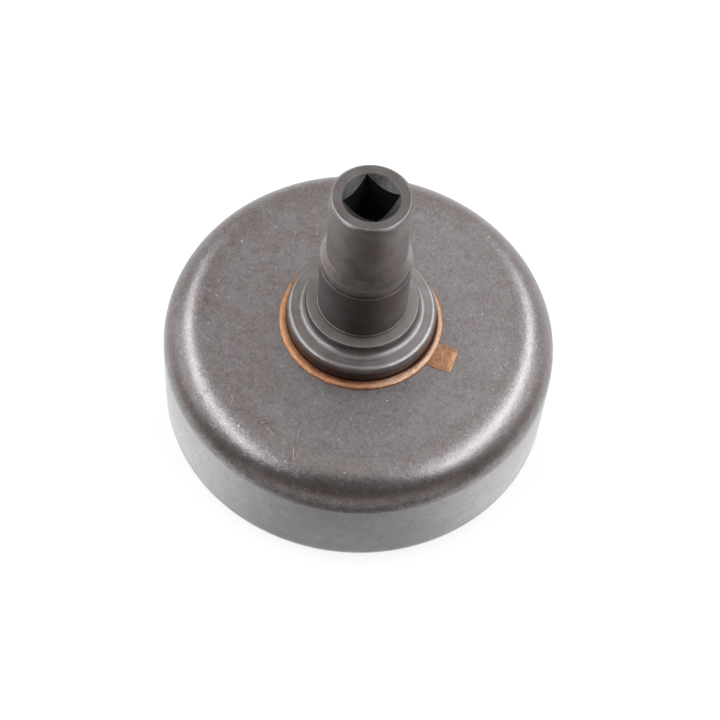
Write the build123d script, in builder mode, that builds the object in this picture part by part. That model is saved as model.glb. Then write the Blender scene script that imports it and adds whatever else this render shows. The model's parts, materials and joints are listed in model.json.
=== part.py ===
from build123d import *
import os
from math import radians, sqrt, tan

# Clutch drum of a brush cutter: a pressed steel cup with a turned drive hub brazed through its web.
# Sizes are in millimetres. The axis of rotation is +Z, the rim stands on the plane z = 0, and the
# flats of the square drive socket face along X and Y.

# Drum cup
drum_diameter = 67.0
drum_height = 21.3
sheet_thickness = 2.5  # wall and web
shoulder_radius = 6.7  # outside, where the wall turns into the web
rim_lead_in = 0.5  # chamfer at the mouth of the friction bore
rim_edge_break = 0.2

# Hub, from the spigot in the web outwards
spigot_diameter = 17.0
spigot_protrusion = 1.0  # past the web's underside
spigot_chamfer = 0.5
brazing_gap = 0.05  # radial, between the spigot and the web's hole
flange_width = 3.2  # radial, beyond the bearing abutment
flange_height = 4.0
flange_edge_chamfer = 0.7
abutment_width = 1.9  # radial, beyond the bearing seat
abutment_height = 2.1
abutment_edge_break = 0.2
neck_taper = 1.1  # slope up from the flange to the abutment, as far in as up
bearing_seat_diameter = 15.0
bearing_seat_length = 11.2
ring_groove_depth = 0.35  # radial, for a 15 x 1 mm retaining ring
ring_groove_width = 1.1
ring_land_length = 1.2
lead_in_drop = 0.9  # radial, from the bearing seat down to the nose
lead_in_length = 1.7
nose_length = 13.6
end_chamfer = 0.4

# Square drive socket
socket_across_flats = 6.5
socket_length = 22.0
mouth_margin = 0.1  # radial, between the square's corners and the edge of the mouth
countersink_angle = 100.0
relief_clearance = 0.4  # radial, past the square's corners, where the broach runs out towards the drum
relief_point_angle = 118.0

# Copper braze
braze_leg_out = 1.45
braze_leg_up = 1.5
spill_angle = 8.4  # degrees round the axis from +X to the middle of the spill
spill_reach = 3.6  # beyond the braze ring
spill_width = 4.8
spill_skew = 8.0  # degrees
spill_corner_radius = 0.5
spill_thickness = 0.12

# Radii that follow from the widths
drum_radius = drum_diameter / 2
bore_radius = drum_radius - sheet_thickness
spigot_radius = spigot_diameter / 2
web_hole_radius = spigot_radius + brazing_gap
seat_radius = bearing_seat_diameter / 2
abutment_radius = seat_radius + abutment_width
flange_radius = abutment_radius + flange_width
groove_radius = seat_radius - ring_groove_depth
nose_radius = seat_radius - lead_in_drop
socket_corner_radius = socket_across_flats / sqrt(2)
mouth_radius = socket_corner_radius + mouth_margin
relief_radius = socket_corner_radius + relief_clearance
braze_radius = flange_radius + braze_leg_out

# Heights above the rim's plane
web_underside = drum_height - sheet_thickness
spigot_end = web_underside - spigot_protrusion
flange_top = drum_height + flange_height
abutment_top = flange_top + abutment_height
seat_top = abutment_top + bearing_seat_length
groove_top = seat_top + ring_groove_width
land_top = groove_top + ring_land_length
lead_in_top = land_top + lead_in_length
hub_end = lead_in_top + nose_length
socket_floor = hub_end - socket_length
braze_top = drum_height + braze_leg_up


def corner(section, radius, height):
    """The vertex of a turned section that stands at a radius and a height."""
    return section.vertices().sort_by_distance((radius, height))[0]


# Drum cup: one pressing, open underneath, with a round hole in its web
with BuildPart() as drum_cup:
    with BuildSketch(Plane.XZ) as cup_section:
        with BuildLine():
            Polyline(
                (web_hole_radius, web_underside),
                (bore_radius, web_underside),
                (bore_radius, 0),
                (drum_radius, 0),
                (drum_radius, drum_height),
                (web_hole_radius, drum_height),
                close=True,
            )
        make_face()
        fillet(corner(cup_section, drum_radius, drum_height), shoulder_radius)
        fillet(corner(cup_section, bore_radius, web_underside), shoulder_radius - sheet_thickness)
        chamfer(corner(cup_section, bore_radius, 0), rim_lead_in)
        chamfer(corner(cup_section, drum_radius, 0), rim_edge_break)
    revolve(axis=Axis.Z)

# Drive hub: one turning, with its socket broached from the nose
with BuildPart() as drive_hub:
    with BuildSketch(Plane.XZ) as hub_section:
        with BuildLine():
            Polyline(
                (0, spigot_end),
                (spigot_radius, spigot_end),
                (spigot_radius, drum_height),
                (flange_radius, drum_height),
                (flange_radius, flange_top),
                (abutment_radius, flange_top),
                (abutment_radius, abutment_top),
                (seat_radius, abutment_top),
                (seat_radius, seat_top),
                (groove_radius, seat_top),
                (groove_radius, groove_top),
                (seat_radius, groove_top),
                (seat_radius, land_top),
                (nose_radius, lead_in_top),
                (nose_radius, hub_end),
                (0, hub_end),
                close=True,
            )
        make_face()
        chamfer(corner(hub_section, spigot_radius, spigot_end), spigot_chamfer)
        chamfer(corner(hub_section, flange_radius, flange_top), flange_edge_chamfer)
        chamfer(corner(hub_section, abutment_radius, flange_top), neck_taper)
        chamfer(corner(hub_section, abutment_radius, abutment_top), abutment_edge_break)
        chamfer(corner(hub_section, nose_radius, hub_end), end_chamfer)
    revolve(axis=Axis.Z)

    # Relief bore from the drum side, with the drill's point
    relief_point_height = relief_radius / tan(radians(relief_point_angle / 2))
    with BuildSketch(Plane.XZ):
        with BuildLine():
            Polyline(
                (0, spigot_end),
                (relief_radius, spigot_end),
                (relief_radius, socket_floor),
                (0, socket_floor + relief_point_height),
                close=True,
            )
        make_face()
    revolve(axis=Axis.Z, mode=Mode.SUBTRACT)

    # Square hole down into the relief bore
    with BuildSketch(Plane.XY.offset(hub_end)):
        Rectangle(socket_across_flats, socket_across_flats)
    extrude(amount=-socket_length, mode=Mode.SUBTRACT)

    # Countersunk mouth, which leaves a scallop on each flat
    countersink_depth = mouth_radius / tan(radians(countersink_angle / 2))
    with BuildSketch(Plane.XZ):
        with BuildLine():
            Polyline(
                (0, hub_end - countersink_depth),
                (mouth_radius, hub_end),
                (0, hub_end),
                close=True,
            )
        make_face()
    revolve(axis=Axis.Z, mode=Mode.SUBTRACT)

# Braze ring: sloping copper fillet round the foot of the flange, and its thin spill on the web
with BuildPart() as braze_ring:
    with BuildSketch(Plane.XZ):
        with BuildLine():
            Polyline(
                (flange_radius, drum_height),
                (braze_radius, drum_height),
                (flange_radius, braze_top),
                close=True,
            )
        make_face()
    revolve(axis=Axis.Z)
    spill_length = spill_reach + braze_leg_out / 2
    with BuildSketch(Plane.XY.offset(drum_height)) as spill:
        with PolarLocations(braze_radius + spill_reach - spill_length / 2, 1, start_angle=spill_angle):
            Rectangle(spill_length, spill_width, rotation=spill_skew)
        fillet(spill.vertices(), spill_corner_radius)
    extrude(amount=spill_thickness)

os.makedirs("parts", exist_ok=True)
drum_cup.part.label = "drum_cup"
export_step(drum_cup.part, "parts/drum_cup.step")
drive_hub.part.label = "drive_hub"
export_step(drive_hub.part, "parts/drive_hub.step")
braze_ring.part.label = "braze_ring"
export_step(braze_ring.part, "parts/braze_ring.step")
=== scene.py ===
import json
from math import cos, pi, radians, sin, sqrt, tan

import bpy
import numpy as np
from mathutils import Matrix, Vector


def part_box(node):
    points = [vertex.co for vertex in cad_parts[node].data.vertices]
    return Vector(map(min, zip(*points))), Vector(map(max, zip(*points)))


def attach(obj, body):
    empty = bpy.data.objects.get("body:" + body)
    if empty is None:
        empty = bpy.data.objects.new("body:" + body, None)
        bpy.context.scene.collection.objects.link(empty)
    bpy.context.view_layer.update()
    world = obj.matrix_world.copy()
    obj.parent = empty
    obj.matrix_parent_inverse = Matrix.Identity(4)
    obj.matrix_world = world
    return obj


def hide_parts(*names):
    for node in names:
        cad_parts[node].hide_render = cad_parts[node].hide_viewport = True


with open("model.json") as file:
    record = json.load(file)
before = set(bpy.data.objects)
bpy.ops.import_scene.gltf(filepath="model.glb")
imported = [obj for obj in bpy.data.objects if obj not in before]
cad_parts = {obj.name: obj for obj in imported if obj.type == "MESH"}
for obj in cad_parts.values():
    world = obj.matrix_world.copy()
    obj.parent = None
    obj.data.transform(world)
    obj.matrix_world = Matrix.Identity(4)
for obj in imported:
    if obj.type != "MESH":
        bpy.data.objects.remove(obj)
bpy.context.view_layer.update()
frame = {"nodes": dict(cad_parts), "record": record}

# A brush cutter's clutch drum on a pale studio floor. Lengths are in metres and the axis of rotation is +Z.
MM = 0.001

# Sizes that the frame gives
mounts = {mount["name"]: mount for mount in frame["record"]["mounts"]}
drum_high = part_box("drum_cup")[1]
hub_low, hub_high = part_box("drive_hub")
braze_low, braze_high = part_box("braze_ring")
drum_radius = drum_high.x
web_top = drum_high.z
flange_radius = hub_high.x
hub_end = hub_high.z
spigot_end = hub_low.z
braze_radius = -braze_low.x
braze_top = braze_high.z
seat_radius = mounts["bearing_seat"]["dims"]["r_mm"] * MM
seat_length = mounts["bearing_seat"]["dims"]["length_mm"] * MM
seat_middle = mounts["bearing_seat"]["pos_m"][2]

shoulder_radius = 6.7 * MM  # where the drum's wall turns into the web

# Turned sizes of the hub
spigot_radius = 8.5 * MM
spigot_chamfer = 0.5 * MM
flange_height = 4.0 * MM
flange_edge_radius = 0.9 * MM
abutment_width = 1.9 * MM  # beyond the bearing seat
abutment_edge_radius = 0.2 * MM
cove_radius = 1.3 * MM  # hollow between the flange and the abutment
ridge_width = 0.16 * MM  # left unground at the root of the bearing seat
ridge_height = 0.7 * MM
groove_depth = 0.35 * MM
groove_width = 1.1 * MM
land_length = 1.2 * MM
lead_in_drop = 0.9 * MM
lead_in_length = 1.7 * MM
end_chamfer = 0.4 * MM
worn_edge = 0.1 * MM  # rounding that handling leaves on a turned edge

# Square drive socket
socket_half = 3.25 * MM
socket_length = 22.0 * MM
mouth_margin = 0.1 * MM  # between the square's corners and the edge of the mouth
relief_clearance = 0.4 * MM  # of the broach's run-out past the square's corners
countersink_angle = 100.0
relief_point_angle = 118.0

# Radii and heights that follow
abutment_radius = seat_radius + abutment_width
groove_radius = seat_radius - groove_depth
ridge_radius = seat_radius + ridge_width
nose_radius = seat_radius - lead_in_drop
corner_radius = socket_half * sqrt(2)
mouth_radius = corner_radius + mouth_margin
relief_radius = corner_radius + relief_clearance
flange_top = web_top + flange_height
abutment_top = seat_middle - seat_length / 2
seat_top = seat_middle + seat_length / 2
groove_top = seat_top + groove_width
land_top = groove_top + land_length
lead_in_top = land_top + lead_in_length
socket_floor = hub_end - socket_length
wall_top = web_top - shoulder_radius

# Copper braze: the ring round the flange's foot
braze_sink = 0.02 * MM  # how far the copper keys into the steel
braze_foot = web_top - braze_sink
braze_film = 0.05 * MM  # thickness of the copper that climbs the flange
edge_wander = 0.1 * MM  # how far its edge strays from a circle
edge_inset = 0.6  # in wanders, so that the edge stays within its solid
crest_wander = 0.2 * MM  # how far the film's upper edge rises and falls
crest_inset = 1.0
bead_height = 0.6 * MM
bead_wander = 0.15  # share of its height by which the bead rises and falls
bead_crown = 0.18  # share of the ring's width, from the flange, where the bead is highest
hollow_top = 0.5  # share of the film's height above the bead where its hollow foot starts
hollow_power = 3
edge_waves = (3, 5, 9, 14, 23)  # numbers of waves round the axis
crest_waves = (2, 4, 7, 12, 19)
bead_waves = (4, 7, 11, 18)
wave_heights = (0.4, 1.0)
edge_seed = 3
crest_seed = 4
bead_seed = 5

# Copper braze: the spill on the web
spill_angle = radians(8.4)
spill_skew = radians(8.0)
spill_reach = 3.6 * MM
spill_overlap = 1.0 * MM  # under the ring
spill_length = spill_reach + spill_overlap
spill_width = 4.8 * MM
spill_corner_radius = 0.6 * MM
spill_thickness = 0.12 * MM
spill_wall = 0.5  # share of its thickness up to which its edge is upright
spill_top_size = 0.97  # shares of its size: its top's edge, and a ring of points on the top
spill_inner_size = 0.5
spill_wander = 0.07 * MM
spill_smoothing = 3  # passes
spill_seed = 8

# Fineness of the meshes
COLUMNS = 256  # points round the axis, a multiple of 8 so that the square's corners fall on columns
angles = np.arange(COLUMNS) * 2 * pi / COLUMNS
slight_steps = 3  # in which a corner of the hub is rounded
worn_steps = 4
abutment_steps = 5
round_steps = 10
socket_rows = (0.4, 0.75, 1.0)  # shares of the square's height
countersink_rows = (0.34, 0.67)  # shares of the way from the square to the mouth's edge
hollow_rows = 5
bead_rows = 10
spill_points = 96
spill_corner_points = 7
card_columns = 49
hub_crease = radians(35)  # an edge that bends more is shown sharp
braze_crease = radians(50)

# Camera, as fitted to the photograph's ellipses
camera_azimuth = radians(31.7)
camera_elevation = radians(58.38)
camera_roll = radians(5.28)
camera_distance = 349.5 * MM
camera_target = (0.5 * MM, 0.0, 8.17 * MM)  # right, depth and height, as the camera faces
camera_lens = 99.9
camera_near = 0.01
camera_far = 20

# Softboxes: right, depth and height of the middle, length, width and radiance
STRIPS = {
    "strip_right": (0.335, 0.07, 0.375, 0.83, 0.16, 4.75),
    "strip_left": (-0.344, 0.03, 0.341, 0.75, 0.105, 6.9),
    "fill_right": (0.4, 0.075, 0.155, 0.2, 0.1, 1.2),
    "fill_left": (-0.4, 0.05, 0.1, 0.32, 0.15, 1.4),
}
strip_colour = (0.87, 1.0, 1.08)

# Sky
sky_brightest = (0, 0.5, 0.866)  # right, depth and height
sky_full = 0.6  # cosine of the angle from there within which it is fully bright
sky_low = 0.55
sky_high = 0.95

# Floor
floor_reach = 6.0
floor_colour = (0.456, 0.44, 0.43)
floor_lift = 0.48  # what brings it to white where it is seen
floor_glow = 0.5  # light that it gives the drum's inside
glow_reach = drum_radius - 2.0 * MM  # where the glow starts to fade and the lift to rise
glow_end = drum_radius - 1.0 * MM
far_lift = 0.2  # added where the strips' light falls off
far_start = 150.0 * MM  # from the axis
far_end = 600.0 * MM

# Screen, a tall bent card: the dark side of the room
screen_reach = 1.9  # radians to each side of the front
screen_tint = (1.0, 0.92, 0.9)
screen_tone = 0.2  # in front
screen_paling = 0.55  # towards the sides
screen_paling_power = 1.6
screen_paling_lean = 0.18  # share by which it pales less on the right
screen_foot = 43.0 * MM  # distance from the axis, in front
screen_foot_spread = 38.0 * MM  # added towards the sides
screen_sill = 9.0 * MM
screen_foot_height = 0.5 * MM
screen_sill_height = 2.0 * MM
screen_distance = 120.0 * MM
screen_low = 30.0 * MM  # height at the sides
screen_rise = 185.0 * MM  # added in front
screen_fall = 4.0  # power by which it falls off to the sides
screen_fall_lean = 0.8  # less of it on the right

# Ledge, a low card in front
ledge_reach = 0.7
ledge_tint = (1.0, 0.95, 0.94)
ledge_tone = 0.6
ledge_distance = 49.0 * MM
ledge_low = 6.0 * MM
ledge_high = 18.0 * MM

# Apron, a card that lies round the drum's foot, which only the steel mirrors: a painted shadow of the floor
# in front and painted light at the sides
apron_reach = 2.3
apron_tint = (1.0, 0.98, 0.97)
apron_tone = 0.54  # in front
apron_lift = 0.45  # half of what its tone gains at the sides
apron_shade = 0.26  # radians to each side of the front before it gains
apron_fade = 0.85
apron_inner = 33.6 * MM
apron_outer = 33.8 * MM  # before its width is added
apron_width = 9.3 * MM
apron_height = 0.4 * MM
apron_end = 2.4  # radians from the front
apron_taper = 0.7


def studio(right, depth, height):
    """A place in the studio, which is laid out as the camera faces: right, away from it, and up."""
    return Matrix.Rotation(camera_azimuth, 3, "Z") @ Vector((right, depth, height))


# Meshes

def rounded(corners):
    """Points of a turned outline, from corners of (radius, height, rounding, steps). Its ends stay sharp."""
    points = [corners[0][:2]]
    for before, corner, after in zip(corners, corners[1:], corners[2:]):
        here = np.array(corner[:2])
        rounding, steps = corner[2:]
        if not rounding:
            points.append(tuple(here))
            continue
        back = np.array(before[:2]) - here
        ahead = np.array(after[:2]) - here
        back /= np.linalg.norm(back)
        ahead /= np.linalg.norm(ahead)
        half = np.arccos(np.clip(back @ ahead, -1, 1)) / 2
        centre = here + (back + ahead) / np.linalg.norm(back + ahead) * rounding / sin(half)
        start = here + back * rounding / tan(half) - centre
        end = here + ahead * rounding / tan(half) - centre
        sweep = pi - 2 * half
        for share in np.linspace(0, 1, steps + 1):
            arm = (start * sin((1 - share) * sweep) + end * sin(share * sweep)) / sin(sweep)
            points.append(tuple(centre + arm))
    points.append(corners[-1][:2])
    return points


def ring_points(rows):
    """Vertices of rows of (radius, height), each a number or an array of one value for each column."""
    points = []
    for radius, height in rows:
        r = np.broadcast_to(radius, COLUMNS)
        z = np.broadcast_to(height, COLUMNS)
        points += list(zip(r * np.cos(angles), r * np.sin(angles), z))
    return points


def ring_faces(rows):
    """Quads between a number of rows of points round the axis, with the last row joined to the first."""
    faces = []
    for row in range(rows):
        here = row * COLUMNS
        after = (row + 1) % rows * COLUMNS
        for column in range(COLUMNS):
            beside = (column + 1) % COLUMNS
            faces.append((here + column, after + column, after + beside, here + beside))
    return faces


def wander(seed, waves):
    """A smooth random curve round the axis, between -1 and 1, made of a few waves."""
    random = np.random.default_rng(seed)
    curve = np.zeros(COLUMNS)
    for count in waves:
        height = random.uniform(*wave_heights)
        start = random.uniform(0, 2 * pi)
        curve += height * np.sin(count * angles + start)
    return curve / len(waves)


def spread(outline, count):
    """A closed outline's points again, evenly spaced along it."""
    closed = np.vstack([outline, outline[:1]])
    along = np.concatenate([[0], np.cumsum(np.linalg.norm(np.diff(closed, axis=0), axis=1))])
    places = np.linspace(0, along[-1], count, endpoint=False)
    return np.column_stack([np.interp(places, along, closed[:, axis]) for axis in (0, 1)])


def smooth(values, passes):
    """Values round a closed outline, each averaged with its neighbours a few times."""
    for _ in range(passes):
        values = (np.roll(values, 1, axis=0) + 2 * values + np.roll(values, -1, axis=0)) / 4
    return values


def add_piece(name, points, faces, material, node, crease):
    """A smooth mesh that stands for a node of the frame."""
    mesh = bpy.data.meshes.new(name)
    mesh.from_pydata([tuple(map(float, point)) for point in points], [], faces)
    mesh.materials.append(material)
    mesh.shade_smooth()
    mesh.set_sharp_from_angle(angle=crease)
    piece = bpy.data.objects.new(name, mesh)
    bpy.context.scene.collection.objects.link(piece)
    normals = piece.modifiers.new("Even normals", "WEIGHTED_NORMAL")
    normals.keep_sharp = True
    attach(piece, "root")
    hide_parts(node)


def make_hub(material):
    """The turned hub with its worn edges and its countersunk square socket, as one closed skin."""
    sink_slope = tan(radians(countersink_angle / 2))
    point_slope = tan(radians(relief_point_angle / 2))
    sink_depth = (mouth_radius - corner_radius) / sink_slope
    outline = rounded([
        (corner_radius, hub_end - sink_depth, 0, 0),
        (mouth_radius, hub_end, worn_edge, worn_steps),
        (nose_radius - end_chamfer, hub_end, worn_edge, worn_steps),
        (nose_radius, hub_end - end_chamfer, worn_edge, worn_steps),
        (nose_radius, lead_in_top, worn_edge, slight_steps),
        (seat_radius, land_top, worn_edge, worn_steps),
        (seat_radius, groove_top, worn_edge, worn_steps),
        (groove_radius, groove_top, 0, 0),
        (groove_radius, seat_top, 0, 0),
        (seat_radius, seat_top, worn_edge, worn_steps),
        (seat_radius, abutment_top + ridge_height, 0, 0),
        (ridge_radius, abutment_top + ridge_height, ridge_width / 2, worn_steps),
        (ridge_radius, abutment_top, 0, 0),
        (abutment_radius, abutment_top, abutment_edge_radius, abutment_steps),
        (abutment_radius, flange_top, cove_radius, round_steps),
        (flange_radius, flange_top, flange_edge_radius, round_steps),
        (flange_radius, web_top, 0, 0),
        (spigot_radius, web_top, 0, 0),
        (spigot_radius, spigot_end + spigot_chamfer, worn_edge, slight_steps),
        (spigot_radius - spigot_chamfer, spigot_end, worn_edge, slight_steps),
        (relief_radius, spigot_end, worn_edge, slight_steps),
        (relief_radius, socket_floor, 0, 0),
    ])[1:]

    square = socket_half / np.maximum(np.abs(np.cos(angles)), np.abs(np.sin(angles)))
    square_top = hub_end - (mouth_radius - square) / sink_slope
    square_foot = socket_floor + (relief_radius - square) / point_slope
    rim_radius, rim_height = outline[0]
    rows = outline + [(square, square_foot)]
    rows += [(square, square_foot + (square_top - square_foot) * share) for share in socket_rows]
    rows += [
        (square + (rim_radius - square) * share, square_top + (rim_height - square_top) * share)
        for share in countersink_rows
    ]
    points = ring_points(rows)
    faces = ring_faces(len(rows))
    add_piece("hub", points, faces, material, "drive_hub", hub_crease)


def ring_of_braze():
    """Rows of the uneven bead of copper round the flange's foot, with its film up the flange."""
    inner = flange_radius - braze_sink
    edge = braze_radius + edge_wander * (wander(edge_seed, edge_waves) - edge_inset)
    crest = braze_top + crest_wander * (wander(crest_seed, crest_waves) - crest_inset)
    bead = web_top + bead_height * (1 + bead_wander * wander(bead_seed, bead_waves))
    film = flange_radius + braze_film
    hollow = (edge - flange_radius) * bead_crown
    rise = (crest - braze_film - bead) * hollow_top
    rows = [(inner, crest), (film, crest - braze_film)]
    for share in np.linspace(0, 1, hollow_rows):
        rows.append((film + hollow * share, bead + rise * (1 - share) ** hollow_power))
    for turn in np.linspace(0, pi / 2, bead_rows + 1)[1:]:
        radius = edge - (edge - film - hollow) * (1 - sin(turn))
        rows.append((radius, web_top + (bead - web_top) * cos(turn)))
    rows += [(edge, braze_foot), (inner, braze_foot)]
    return rows


def spill_outline():
    """Points round the spill's uneven edge, about its own middle."""
    random = np.random.default_rng(spill_seed)
    half = np.array([spill_length / 2, spill_width / 2]) - spill_corner_radius
    outline = []
    for quarter, (x, y) in enumerate(((1, 1), (-1, 1), (-1, -1), (1, -1))):
        for turn in np.linspace(0, pi / 2, spill_corner_points):
            angle = quarter * pi / 2 + turn
            outline.append(half * (x, y) + spill_corner_radius * np.array([cos(angle), sin(angle)]))
    outline = spread(np.array(outline), spill_points)
    uneven = smooth(random.normal(0, 1, (spill_points, 1)), spill_smoothing)
    return outline * (1 + spill_wander / spill_reach * uneven)


def spill_skin(first):
    """Points and faces of the thin spill on the web, with its points numbered from first."""
    tilt = spill_angle + spill_skew
    turned = spill_outline() @ np.array([[cos(tilt), sin(tilt)], [-sin(tilt), cos(tilt)]])
    middle = braze_radius + spill_reach - spill_length / 2
    centre = middle * np.array([cos(spill_angle), sin(spill_angle)])
    spill_top = web_top + spill_thickness
    levels = (
        (1.0, braze_foot),
        (1.0, web_top + spill_thickness * spill_wall),
        (spill_top_size, spill_top),
        (spill_inner_size, spill_top),
    )
    points = []
    for scale, height in levels:
        points += [(x, y, height) for x, y in centre + turned * scale]
    faces = []
    for level in range(len(levels) - 1):
        low = first + level * spill_points
        high = low + spill_points
        for step in range(spill_points):
            beside = (step + 1) % spill_points
            faces.append((low + step, low + beside, high + beside, high + step))
    last = first + (len(levels) - 1) * spill_points
    faces.append(tuple(last + step for step in range(spill_points)))
    faces.append(tuple(first + spill_points - 1 - step for step in range(spill_points)))
    return points, faces


def make_braze(material):
    """The copper: the uneven bead round the flange's foot, and its thin spill on the web."""
    rows = ring_of_braze()
    points = ring_points(rows)
    faces = ring_faces(len(rows))
    more_points, more_faces = spill_skin(len(points))
    points += more_points
    faces += more_faces
    add_piece("braze", points, faces, material, "braze_ring", braze_crease)


# Materials

# Colours of the drum: the web and the shoulder, the shoulder's foot, and the turned wall
web_brown = (0.186, 0.15, 0.145)
web_grey = (0.226, 0.198, 0.195)
web_grain = (0.34, 0.31, 0.305)
web_stain = (0.11, 0.088, 0.086)
# painted shade on the left of the web and painted light on its right
web_painted_shade = (0.1, 0.08, 0.078)
web_painted_light = (0.36, 0.33, 0.325)
web_bare = (0.6, 0.58, 0.575)
# the shoulder's foot: burnished streaks, partly a painted reflection of the floor
foot_dark = (0.165, 0.154, 0.152)
foot_light = (0.315, 0.308, 0.306)
wall_dark = (0.4, 0.4, 0.398)
wall_light = (0.48, 0.481, 0.48)
wall_mottle = (0.27, 0.25, 0.244)
wall_grain = (0.3, 0.288, 0.283)
wall_stain = (0.24, 0.226, 0.222)
wall_bare = (0.56, 0.55, 0.545)

# Colours of the hub
hub_brown = (0.185, 0.158, 0.151)
hub_grey = (0.262, 0.236, 0.228)
hub_line = (0.32, 0.295, 0.285)
hub_bare = (0.46, 0.44, 0.425)
seat_dark = (0.07, 0.055, 0.052)
end_dark = (0.085, 0.078, 0.076)
sunk_dark = (0.045, 0.04, 0.04)
sunk_light = (0.085, 0.077, 0.076)
shelf_brown = (0.2, 0.155, 0.145)
# painted shade on the flange's side, down to the copper
flange_foot_shade = (0.045, 0.034, 0.032)
# painted shade on the flange's left and painted light on its right
flange_painted_shade = (0.09, 0.075, 0.072)
flange_painted_light = (0.4, 0.375, 0.365)
# painted shade in the hollow between the flange and the abutment
cove_painted_shade = (0.09, 0.078, 0.075)

# Colours of the copper
copper_dark = (0.325, 0.155, 0.077)
copper_light = (0.45, 0.256, 0.156)
copper_grain = (0.28, 0.132, 0.072)
ring_red = (0.33, 0.128, 0.052)
# painted highlight, pale on the ring's right
ring_painted_highlight = (0.56, 0.4, 0.31)
# painted shade on the copper's inner side, by the flange
painted_shade_red = (0.15, 0.05, 0.03)
painted_shade_brown = (0.055, 0.024, 0.018)

# Turns of the scratches' directions, in degrees
SCRATCH_TURNS = ((20, 10, 15), (-15, 25, 47), (10, -20, 81), (-10, 20, 110), (25, 15, 137), (-20, -15, 172))


class Nodes:
    """A material's node tree, with short calls for the nodes of its layers. Lengths are in millimetres."""

    def __init__(self, name):
        self.material = bpy.data.materials.new(name)
        self.material.use_nodes = True
        self.tree = self.material.node_tree
        self.shader = self.tree.nodes["Principled BSDF"]
        coordinates = self.tree.nodes.new("ShaderNodeTexCoord")
        in_mm = self.tree.nodes.new("ShaderNodeVectorMath")
        in_mm.operation = "SCALE"
        in_mm.inputs["Scale"].default_value = 1 / MM
        self.link(coordinates.outputs["Object"], in_mm.inputs[0])
        self.place = in_mm.outputs[0]  # millimetres in the part's own frame

    def link(self, output, socket):
        self.tree.links.new(output, socket)

    def turned(self, rotation, stretch):
        """The place in turned axes, with a pattern drawn out along each of them."""
        mapping = self.tree.nodes.new("ShaderNodeMapping")
        mapping.vector_type = "TEXTURE"
        mapping.inputs["Rotation"].default_value = [radians(angle) for angle in rotation]
        mapping.inputs["Scale"].default_value = stretch
        self.link(self.place, mapping.inputs["Vector"])
        return mapping.outputs[0]

    def noise(self, scale, detail, roughness, place=None):
        """A cloudy pattern about 0.5, with about as many clouds to a millimetre as its scale says."""
        texture = self.tree.nodes.new("ShaderNodeTexNoise")
        texture.inputs["Scale"].default_value = scale
        texture.inputs["Detail"].default_value = detail
        texture.inputs["Roughness"].default_value = roughness
        self.link(place or self.place, texture.inputs["Vector"])
        return texture.outputs["Fac"]

    def ramp(self, value, low, high, bottom=0.0, top=1.0):
        """A value from low to high, carried over to bottom to top and held there outside them."""
        node = self.tree.nodes.new("ShaderNodeMapRange")
        for name, number in zip(("From Min", "From Max", "To Min", "To Max"), (low, high, bottom, top)):
            node.inputs[name].default_value = number
        self.link(value, node.inputs["Value"])
        return node.outputs[0]

    def math(self, operation, first, second=0.0):
        """The result of an operation on two values, which are numbers or outputs."""
        node = self.tree.nodes.new("ShaderNodeMath")
        node.operation = operation
        for socket, value in zip(node.inputs, (first, second)):
            if isinstance(value, (int, float)):
                socket.default_value = value
            else:
                self.link(value, socket)
        return node.outputs[0]

    def times(self, first, second):
        return self.math("MULTIPLY", first, second)

    def plus(self, first, second):
        return self.math("ADD", first, second)

    def minus(self, first, second):
        return self.math("SUBTRACT", first, second)

    def most(self, first, second):
        return self.math("MAXIMUM", first, second)

    def mix(self, share, first, second):
        """A colour between two, which are colours or outputs."""
        node = self.tree.nodes.new("ShaderNodeMix")
        node.data_type = "RGBA"
        self.link(share, node.inputs["Factor"])
        for name, colour in (("A", first), ("B", second)):
            socket = next(s for s in node.inputs if s.name == name and s.type == "RGBA")
            if isinstance(colour, tuple):
                socket.default_value = (*colour, 1.0)
            else:
                self.link(colour, socket)
        return next(s for s in node.outputs if s.type == "RGBA")

    def length(self, first, second):
        """The distance that two distances at right angles make up."""
        return self.math("SQRT", self.plus(self.math("POWER", first, 2.0), self.math("POWER", second, 2.0)))

    def parts(self):
        """Distance from the axis and height above the rim, in millimetres."""
        split = self.tree.nodes.new("ShaderNodeSeparateXYZ")
        self.link(self.place, split.inputs[0])
        return self.length(split.outputs[0], split.outputs[1]), split.outputs[2]

    def pair(self, radius, height):
        """A place that is the same all round the axis, for a pattern of lines round it."""
        node = self.tree.nodes.new("ShaderNodeCombineXYZ")
        self.link(radius, node.inputs[0])
        self.link(height, node.inputs[2])
        return node.outputs[0]

    def along(self, direction):
        """How far a place is along a direction, in millimetres."""
        node = self.tree.nodes.new("ShaderNodeVectorMath")
        node.operation = "DOT_PRODUCT"
        node.inputs[1].default_value = direction
        self.link(self.place, node.inputs[0])
        return node.outputs["Value"]

    def near(self, radius, height, corner, reach):
        """How near a place is to a corner of a turned piece: 1 close to it, 0 from a reach in millimetres."""
        out = self.minus(radius, corner[0] / MM)
        up = self.minus(height, corner[1] / MM)
        core = 0.3 * reach  # within which it is 1
        return self.ramp(self.length(out, up), core, reach, bottom=1.0, top=0.0)

    def scratches(self, directions, length, width, rarity):
        """Fine, slightly bent marks that run in a few directions, each in patches of its own."""
        total = 0.0
        for rotation in directions:
            drawn_out = self.turned(rotation, (length, width, length))
            field = self.noise(scale=1.0, detail=1.0, roughness=0.5, place=drawn_out)
            even = self.turned(rotation, (1, 1, 1))
            patch = self.noise(scale=0.5 / length, detail=1.0, roughness=0.5, place=even)
            marks = self.times(self.ramp(field, rarity, rarity + 0.06), self.ramp(patch, 0.5, 0.6))
            total = self.most(total, marks)
        return total

    def bump(self, height, depth):
        """Relief of a depth in millimetres."""
        node = self.tree.nodes.new("ShaderNodeBump")
        node.inputs["Distance"].default_value = depth * MM
        self.link(height, node.inputs["Height"])
        self.link(node.outputs[0], self.shader.inputs["Normal"])

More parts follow.
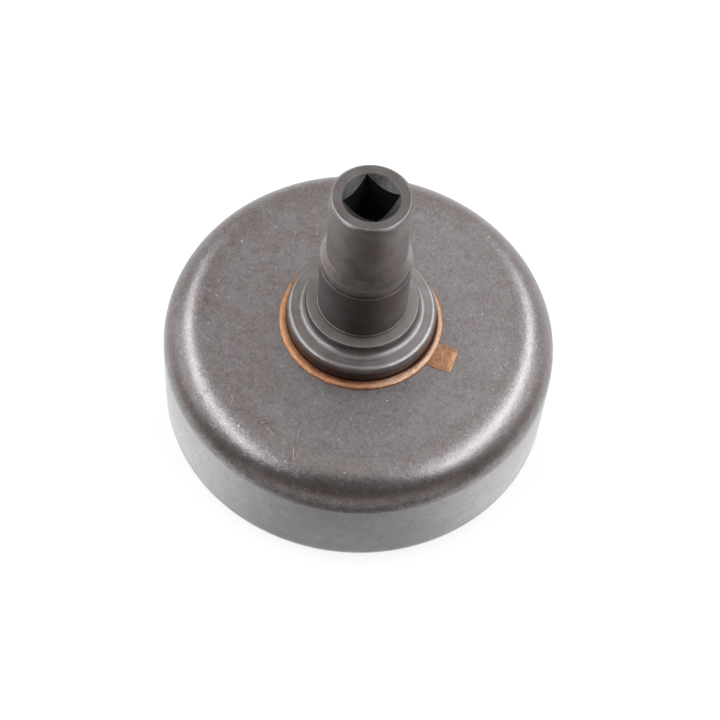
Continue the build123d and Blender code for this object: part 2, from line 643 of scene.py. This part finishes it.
    def metal(self, colour, roughness):
        """The material, as a metal of a colour and a roughness."""
        self.link(colour, self.shader.inputs["Base Color"])
        self.link(roughness, self.shader.inputs["Roughness"])
        self.shader.inputs["Metallic"].default_value = 1.0
        return self.material


def drum_steel():
    """Browned pressed steel, cloudy and fine-grained, with nicks and scratches, and a turned, lined wall."""
    steel = Nodes("drum_steel")
    radius, height = steel.parts()
    clouds = steel.noise(scale=0.09, detail=4.0, roughness=0.6)
    mottle = steel.noise(scale=0.5, detail=5.0, roughness=0.65)
    grain = steel.noise(scale=2.6, detail=4.0, roughness=0.7)
    lines = steel.noise(scale=3.0, detail=4.0, roughness=0.75, place=steel.pair(radius, height))

    # The web and the shoulder, with painted shade that darkens the left and painted light that pales the
    # right
    stains = steel.noise(scale=1.1, detail=4.0, roughness=0.65)
    colour = steel.mix(steel.ramp(steel.plus(clouds, mottle), 0.82, 1.18), web_brown, web_grey)
    colour = steel.mix(steel.ramp(grain, 0.44, 0.7, top=0.62), colour, web_grain)
    colour = steel.mix(steel.ramp(stains, 0.54, 0.68, top=0.5), colour, web_stain)
    right = steel.ramp(steel.along(studio(1, 0, 0)), -24.0, 24.0)
    left = steel.minus(1.0, right)
    colour = steel.mix(steel.times(left, 0.2), colour, web_painted_shade)
    colour = steel.mix(steel.times(right, 0.17), colour, web_painted_light)

    # Scratches and small nicks
    marks = steel.scratches(SCRATCH_TURNS, length=2.4, width=0.14, rarity=0.71)
    nicks = steel.ramp(steel.noise(scale=1.5, detail=3.0, roughness=0.6), 0.67, 0.74)
    bare = steel.most(steel.times(marks, 0.32), steel.times(nicks, 0.75))
    colour = steel.mix(bare, colour, web_bare)

    # The foot of the shoulder: burnished streaks, whose greyer tone is also a painted reflection of the floor
    # in front
    outside = steel.ramp(radius, drum_radius / MM - 1.6, drum_radius / MM - 1.2)
    foot = steel.times(steel.ramp(height, wall_top / MM + 3.4, wall_top / MM + 2.4), outside)
    streaks = steel.plus(steel.times(mottle, 0.4), steel.times(grain, 0.6))
    foot_streaks_and_reflection = steel.mix(steel.ramp(streaks, 0.42, 0.6), foot_dark, foot_light)
    colour = steel.mix(steel.times(foot, 0.8), colour, foot_streaks_and_reflection)

    # The turned wall, up to an uneven edge
    uneven = steel.noise(scale=0.5, detail=4.0, roughness=0.7)
    edge = steel.plus(height, steel.ramp(uneven, 0.3, 0.7, bottom=-0.3, top=0.3))
    turned = steel.ramp(edge, wall_top / MM + 0.4, wall_top / MM + 0.05)
    patches = steel.noise(scale=0.3, detail=4.0, roughness=0.6)
    wall = steel.mix(steel.ramp(lines, 0.3, 0.7), wall_dark, wall_light)
    wall = steel.mix(steel.ramp(mottle, 0.46, 0.68, top=0.3), wall, wall_mottle)
    wall = steel.mix(steel.ramp(grain, 0.42, 0.66, top=0.6), wall, wall_grain)
    wall = steel.mix(steel.ramp(patches, 0.42, 0.62, top=0.16), wall, wall_stain)
    wall = steel.mix(steel.times(bare, 0.5), wall, wall_bare)
    colour = steel.mix(turned, colour, wall)

    # The shoulder is smoother than the web and the wall
    web_edge = (drum_radius - shoulder_radius) / MM
    flat = steel.ramp(radius, web_edge + 1.5, web_edge - 3.0)
    dull = steel.plus(turned, steel.times(flat, 1.2))
    roughness = steel.ramp(steel.plus(grain, dull), 0.3, 1.7, bottom=0.27, top=0.47)
    relief = steel.plus(steel.times(grain, 0.5), steel.times(bare, -0.4))
    relief = steel.plus(relief, steel.times(mottle, 0.5))
    relief = steel.plus(relief, steel.times(steel.times(lines, turned), 0.3))
    steel.bump(relief, depth=0.07)
    return steel.metal(colour, roughness)


def hub_steel():
    """Dark browned steel with fine tool lines round the axis, bright where its edges are worn."""
    steel = Nodes("hub_steel")
    radius, height = steel.parts()
    lines = steel.noise(scale=5.0, detail=3.0, roughness=0.7, place=steel.pair(radius, height))
    clouds = steel.ramp(steel.noise(scale=0.35, detail=5.0, roughness=0.65), 0.35, 0.65)
    grain = steel.noise(scale=3.0, detail=3.0, roughness=0.6)
    colour = steel.mix(clouds, hub_brown, hub_grey)
    colour = steel.mix(steel.ramp(lines, 0.45, 0.75, top=0.4), colour, hub_line)

    # The bearing seat
    seat_low = (abutment_top + ridge_height) / MM
    seat_high = seat_top / MM
    above = steel.ramp(height, seat_low - 0.1, seat_low + 0.1)
    below = steel.ramp(height, seat_high + 0.1, seat_high - 0.1)
    colour = steel.mix(steel.times(steel.times(above, below), 0.7), colour, seat_dark)

    # The end face, and the socket with its countersink
    end_low = (hub_end - end_chamfer) / MM
    end = steel.ramp(height, end_low - 0.05, end_low + 0.05)
    colour = steel.mix(steel.times(end, 0.45), colour, end_dark)
    sunk = steel.ramp(radius, mouth_radius / MM + 0.05, mouth_radius / MM - 0.1)
    sunk_colour = steel.mix(steel.ramp(grain, 0.35, 0.65), sunk_dark, sunk_light)
    colour = steel.mix(sunk, colour, sunk_colour)

    # The face of the abutment, and painted shade on the foot of the flange
    away = steel.math("ABSOLUTE", steel.minus(height, abutment_top / MM))
    shelf = steel.ramp(away, 0.05, 0.15, bottom=1.0, top=0.0)
    colour = steel.mix(steel.times(shelf, 0.4), colour, shelf_brown)
    foot = steel.ramp(height, flange_top / MM - 0.8, flange_top / MM - 1.4, top=0.75)
    colour = steel.mix(foot, colour, flange_foot_shade)

    # The flange and the abutment, with painted shade on the left and painted light on the right, and painted
    # shade in the hollow between them
    low = steel.ramp(height, abutment_top / MM + 0.4, abutment_top / MM + 0.1)
    across = steel.along(studio(1, 0, 0))
    left = steel.ramp(across, 0.0, -11.0, top=0.3)
    right = steel.ramp(across, 0.0, 11.0, top=0.25)
    colour = steel.mix(steel.times(low, left), colour, flange_painted_shade)
    colour = steel.mix(steel.times(low, right), colour, flange_painted_light)
    hollow = (abutment_radius + 0.3 * cove_radius, flange_top + 0.3 * cove_radius)
    # painted shade, darkest at the hollow's corner
    cove_shade = steel.near(radius, height, hollow, reach=1.2)
    colour = steel.mix(steel.times(cove_shade, 0.35), colour, cove_painted_shade)

    # Scratches, and worn edges at the end face and at the top of the ring's land
    marks = steel.scratches(SCRATCH_TURNS[:3], length=3.0, width=0.12, rarity=0.7)
    end_edge = steel.near(radius, height, (nose_radius - end_chamfer, hub_end), reach=0.18)
    land_edge = steel.near(radius, height, (seat_radius, land_top), reach=0.18)
    worn = steel.times(steel.most(end_edge, land_edge), steel.ramp(grain, 0.35, 0.65, bottom=0.1, top=0.5))
    bare = steel.most(worn, steel.times(marks, 0.3))
    colour = steel.mix(bare, colour, hub_bare)

    # The socket and the face of the abutment are the roughest
    dull = steel.ramp(height, seat_low - 0.2, seat_low + 0.2, bottom=0.2, top=0.0)
    dull = steel.plus(dull, steel.times(shelf, 0.7))
    dull = steel.plus(dull, steel.times(sunk, 0.9))
    roughness = steel.ramp(steel.plus(steel.plus(grain, lines), dull), 0.6, 2.2, bottom=0.27, top=0.58)
    steel.bump(steel.plus(lines, steel.times(grain, 0.6)), depth=0.01)
    return steel.metal(colour, roughness)


def braze_copper():
    """Copper braze: bright and mottled on the web, with painted shade where it climbs the flange and a
    painted highlight on the right.
    """
    copper = Nodes("braze_copper")
    radius = copper.parts()[0]
    across = copper.along(studio(1, 0, 0))
    blotches = copper.ramp(copper.noise(scale=0.9, detail=4.0, roughness=0.65), 0.35, 0.68)
    grain = copper.noise(scale=6.0, detail=3.0, roughness=0.6)
    colour = copper.mix(blotches, copper_dark, copper_light)
    colour = copper.mix(copper.ramp(grain, 0.4, 0.8, top=0.5), colour, copper_grain)

    # The ring, redder than the spill, with a painted highlight that pales it on the right
    ring = copper.ramp(radius, braze_radius / MM + 0.1, braze_radius / MM - 0.4, top=0.4)
    right = copper.ramp(across, 0.0, 6.0)
    colour = copper.mix(ring, colour, ring_red)
    colour = copper.mix(copper.times(ring, right), colour, ring_painted_highlight)

    # Its inner side: painted shade, red at the front left and dark brown along the flange, more widely at the
    # far right
    flange = flange_radius / MM
    front = copper.ramp(copper.along(studio(0, -1, 0)), 7.5, 12.5)
    front_shade = copper.ramp(radius, flange + 0.3, flange + 0.9, bottom=0.8, top=0.0)
    front_shade = copper.times(copper.times(front_shade, front), copper.minus(1.0, right))
    colour = copper.mix(front_shade, colour, painted_shade_red)
    wider = copper.ramp(across, 7.5, 10.5, top=0.25)
    flange_shade = copper.ramp(copper.minus(radius, wider), flange + 0.06, flange + 0.42, bottom=1.0, top=0.0)
    colour = copper.mix(flange_shade, colour, painted_shade_brown)

    roughness = copper.ramp(grain, 0.3, 0.7, bottom=0.32, top=0.5)
    copper.bump(copper.plus(grain, blotches), depth=0.06)
    return copper.metal(colour, roughness)


# Studio

def make_camera():
    """The camera, at the photograph's place."""
    data = bpy.data.cameras.new("camera")
    data.lens = camera_lens
    data.clip_start = camera_near
    data.clip_end = camera_far
    camera = bpy.data.objects.new("camera", data)
    bpy.context.scene.collection.objects.link(camera)
    turn = (
        Matrix.Rotation(camera_azimuth, 4, "Z")
        @ Matrix.Rotation(pi / 2 - camera_elevation, 4, "X")
        @ Matrix.Rotation(camera_roll, 4, "Z")
    )
    back = turn @ Vector((0, 0, camera_distance))
    camera.matrix_world = Matrix.Translation(studio(*camera_target) + back) @ turn
    bpy.context.scene.camera = camera


def make_strip(name, right, depth, height, length, width, radiance):
    """A long softbox beside the object, level and in line with the camera's view, turned to face the drum."""
    data = bpy.data.lights.new(name, "AREA")
    data.shape = "RECTANGLE"
    data.size = length
    data.size_y = width
    data.energy = radiance * pi * length * width
    data.color = strip_colour
    strip = bpy.data.objects.new(name, data)
    bpy.context.scene.collection.objects.link(strip)
    along = studio(0, 1, 0)
    facing = studio(right, 0, height).normalized()
    across = facing.cross(along)
    turn = Matrix((along, across, facing)).transposed().to_4x4()
    strip.matrix_world = Matrix.Translation(studio(right, depth, height)) @ turn
    strip.visible_camera = False


def floor_cloth():
    """Pale cloth, white to the camera and in reflections, which keeps the shadow and is clear from below.

    Under the drum it isn't lifted to white, and there it lights the drum's inside for a view from below.
    """
    cloth = Nodes("floor")
    radius = cloth.parts()[0]
    path = cloth.tree.nodes.new("ShaderNodeLightPath")
    seen = cloth.most(path.outputs["Is Camera Ray"], path.outputs["Is Glossy Ray"])
    seen = cloth.most(seen, path.outputs["Is Transmission Ray"])
    unseen = cloth.minus(1.0, path.outputs["Is Camera Ray"])
    beyond = cloth.ramp(radius, glow_reach / MM, drum_radius / MM, top=floor_lift)
    beyond = cloth.plus(beyond, cloth.ramp(radius, far_start / MM, far_end / MM, top=far_lift))
    under = cloth.ramp(radius, glow_reach / MM, glow_end / MM, bottom=floor_glow, top=0.0)
    strength = cloth.plus(cloth.times(seen, beyond), cloth.times(unseen, under))
    cloth.shader.inputs["Base Color"].default_value = (*floor_colour, 1)
    cloth.shader.inputs["Roughness"].default_value = 1.0
    cloth.shader.inputs["Specular IOR Level"].default_value = 0.0
    cloth.shader.inputs["Emission Color"].default_value = (1, 1, 1, 1)
    cloth.link(strength, cloth.shader.inputs["Emission Strength"])
    side = cloth.tree.nodes.new("ShaderNodeNewGeometry")
    clear = cloth.tree.nodes.new("ShaderNodeBsdfTransparent")
    whole = cloth.tree.nodes.new("ShaderNodeMixShader")
    cloth.link(side.outputs["Backfacing"], whole.inputs["Fac"])
    cloth.link(cloth.shader.outputs[0], whole.inputs[1])
    cloth.link(clear.outputs[0], whole.inputs[2])
    cloth.link(whole.outputs[0], cloth.tree.nodes["Material Output"].inputs["Surface"])
    return cloth.material


def make_floor(material):
    """The floor, a square sheet at the height of the drum's rim."""
    mesh = bpy.data.meshes.new("floor")
    corners = [(x * floor_reach, y * floor_reach, 0) for x, y in ((-1, -1), (1, -1), (1, 1), (-1, 1))]
    mesh.from_pydata(corners, [], [(0, 1, 2, 3)])
    mesh.materials.append(material)
    floor = bpy.data.objects.new("floor", mesh)
    bpy.context.scene.collection.objects.link(floor)


def card_paint(name, tint):
    """Paint that glows by its card's stored tone."""
    material = bpy.data.materials.new(name)
    material.use_nodes = True
    tree = material.node_tree
    shader = tree.nodes["Principled BSDF"]
    shader.inputs["Base Color"].default_value = (0, 0, 0, 1)
    shader.inputs["Roughness"].default_value = 1.0
    shader.inputs["Emission Color"].default_value = (*tint, 1)
    stored = tree.nodes.new("ShaderNodeAttribute")
    stored.attribute_name = "tone"
    tree.links.new(stored.outputs["Fac"], shader.inputs["Emission Strength"])
    return material


def make_card(name, reach, profile, tint):
    """A grey card bent round the front, which only the steel mirrors, with a reach to each side in radians.

    The profile gives each row's distance from the axis, height and tone at a turn from the front.
    """
    turns = np.linspace(-reach, reach, card_columns)
    points, tones = [], []
    for turn in turns:
        for distance, height, tone in profile(turn):
            points.append(studio(distance * sin(turn), -distance * cos(turn), height))
            tones.append(tone)
    rows = len(profile(0))
    faces = []
    for step in range(len(turns) - 1):
        for row in range(rows - 1):
            low = step * rows + row
            faces.append((low, low + rows, low + rows + 1, low + 1))
    mesh = bpy.data.meshes.new(name)
    mesh.from_pydata([tuple(point) for point in points], [], faces)
    mesh.attributes.new("tone", "FLOAT", "POINT").data.foreach_set("value", tones)
    mesh.materials.append(card_paint(name, tint))
    card = bpy.data.objects.new(name, mesh)
    bpy.context.scene.collection.objects.link(card)
    card.visible_camera = False
    card.visible_diffuse = False
    card.visible_shadow = False


def screen_profile(turn):
    """The dark side of the room, tall and dark in front, lower and paler towards the sides."""
    aside = 1 - cos(turn)
    tone = screen_tone + screen_paling * aside ** screen_paling_power * (1 - screen_paling_lean * sin(turn))
    foot = screen_foot + screen_foot_spread * aside
    top = screen_low + screen_rise * max(cos(turn), 0) ** (screen_fall - screen_fall_lean * sin(turn))
    return (
        (foot, screen_foot_height, tone),
        (foot + screen_sill, screen_sill_height, tone),
        (screen_distance, top, tone),
    )


def ledge_profile(_):
    """A paler ledge in front, low down, the same at every turn."""
    return (ledge_distance, ledge_low, ledge_tone), (ledge_distance, ledge_high, ledge_tone)


def apron_profile(turn):
    """A painted shadow of the floor round the drum's foot: shaded in front, with painted light at the sides,
    and running out behind.
    """
    swing = min(max((abs(turn) - apron_shade) / apron_fade, 0), 1)
    tone = apron_tone + apron_lift * (1 - cos(pi * swing))
    width = apron_width * min((apron_end - abs(turn)) / apron_taper, 1)
    return (apron_inner, apron_height, tone), (apron_outer + width, apron_height, tone)


def make_world():
    """A sky of white cloth, bright overhead and behind the object, and darker towards the front."""
    world = bpy.data.worlds.new("studio")
    bpy.context.scene.world = world
    world.use_nodes = True
    world.cycles.sampling_method = "NONE"  # so that the screen hides the sky from the steel
    tree = world.node_tree
    background = tree.nodes["Background"]
    background.inputs["Color"].default_value = (1, 1, 1, 1)
    coordinates = tree.nodes.new("ShaderNodeTexCoord")
    towards = tree.nodes.new("ShaderNodeVectorMath")
    towards.operation = "DOT_PRODUCT"
    towards.inputs[1].default_value = studio(*sky_brightest)
    level = tree.nodes.new("ShaderNodeMapRange")
    level.inputs["From Min"].default_value = 0.0
    level.inputs["From Max"].default_value = sky_full
    level.inputs["To Min"].default_value = sky_low
    level.inputs["To Max"].default_value = sky_high
    tree.links.new(coordinates.outputs["Generated"], towards.inputs[0])
    tree.links.new(towards.outputs["Value"], level.inputs["Value"])
    path = tree.nodes.new("ShaderNodeLightPath")
    shown = tree.nodes.new("ShaderNodeMath")
    shown.operation = "MAXIMUM"
    tree.links.new(path.outputs["Is Camera Ray"], shown.inputs[0])
    tree.links.new(level.outputs[0], shown.inputs[1])
    tree.links.new(shown.outputs[0], background.inputs["Strength"])


make_camera()
make_world()
make_floor(floor_cloth())
make_card("screen", screen_reach, screen_profile, screen_tint)
make_card("ledge", ledge_reach, ledge_profile, ledge_tint)
make_card("apron", apron_reach, apron_profile, apron_tint)
for strip_name, strip_sizes in STRIPS.items():
    make_strip(strip_name, *strip_sizes)

drum = frame["nodes"]["drum_cup"]
drum.data.materials[0] = drum_steel()
make_hub(hub_steel())
make_braze(braze_copper())

bpy.context.scene.view_settings.view_transform = "Standard"
